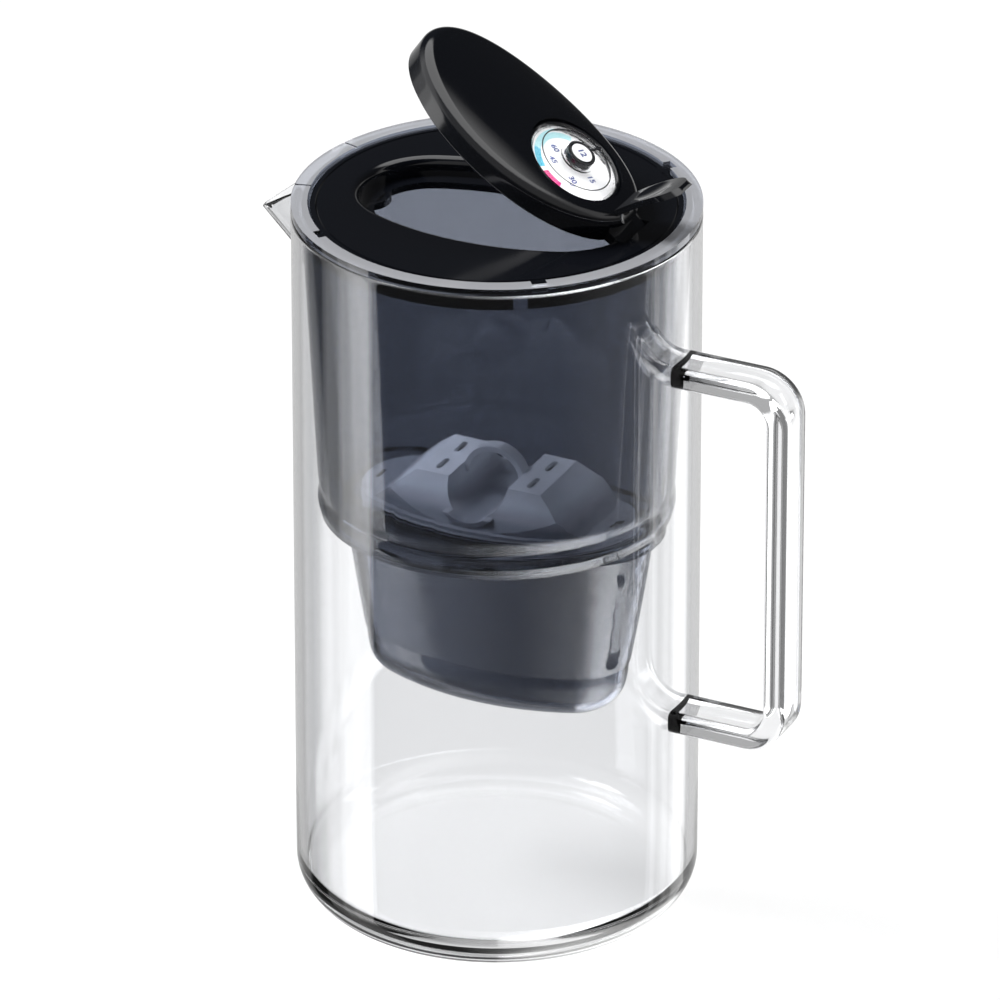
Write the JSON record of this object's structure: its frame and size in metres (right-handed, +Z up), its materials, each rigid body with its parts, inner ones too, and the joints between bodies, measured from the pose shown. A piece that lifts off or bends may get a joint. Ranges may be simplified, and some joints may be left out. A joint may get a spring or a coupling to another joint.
{
  "type": "water filter pitcher with flip lid",
  "caption": "Straight glass water filter pitcher with a bar handle, a smoked hopper holding an oval cartridge, a black lid and a flip lid with a reminder dial and thumb lever.",
  "frame": {"origin": "centre of the flat under the jug's base, on the surface it stands on", "axes": "+Z up along the jug's axis, +X towards the handle, -X towards the spout"},
  "size_m": [0.199, 0.138, 0.3164],
  "materials": {
    "jug_glass": "clear, polished",
    "smoked_plastic": "clear smoke grey, glossy",
    "cartridge_grey": "satin",
    "soft_seal": "matt",
    "screen": "fine mesh",
    "media": "granules",
    "black_gloss": "polished black",
    "black_matte": "matt black",
    "dial_card": "printed white",
    "dial_lens": "clear plastic, polished",
    "steel": "plain"
  },
  "bodies": {
    "jug": {"jug_body": "jug_glass", "jug_handle": "jug_glass"},
    "hopper": {"hopper": "smoked_plastic"},
    "cartridge": {"cartridge_cup": "cartridge_grey", "cartridge_cap": "cartridge_grey", "cartridge_seal": "soft_seal", "inlet_screen": "screen", "outlet_screen": "screen", "filter_media": "media"},
    "lid": {"lid_plate": "black_gloss", "hinge_pin": "steel"},
    "flip": {"flip_cover": "black_gloss", "flip_base": "black_gloss", "flip_seal": "soft_seal", "thumb_lever": "black_gloss", "cover_screws": "steel", "dial_bezel": "black_gloss", "dial_card": "dial_card", "dial_lens": "dial_lens"},
    "dial": {"dial_knob": "black_gloss", "dial_skirt": "dial_lens", "dial_pointer": "black_matte", "axle_clip": "steel"}
  },
  "joints": [
    {"name": "hopper_lift", "type": "slide", "parent": "jug", "child": "hopper", "axis": [0, 0, 1], "range_m": [0, 0.19]},
    {"name": "cartridge_lift", "type": "slide", "parent": "hopper", "child": "cartridge", "axis": [0, 0, 1], "range_m": [0, 0.07]},
    {"name": "lid_lift", "type": "slide", "parent": "hopper", "child": "lid", "axis": [0, 0, 1], "range_m": [0, 0.06]},
    {"name": "flip_hinge", "type": "hinge", "parent": "lid", "child": "flip", "pos_m": [0.049, 0, 0.255], "axis": [0, 1, 0], "range_deg": [-35, 20]},
    {"name": "dial_turn", "type": "hinge", "parent": "flip", "child": "dial", "pos_m": [0.02851, 0, 0.27874], "axis": [0.5736, 0, 0.8192], "continuous": true}
  ]
}
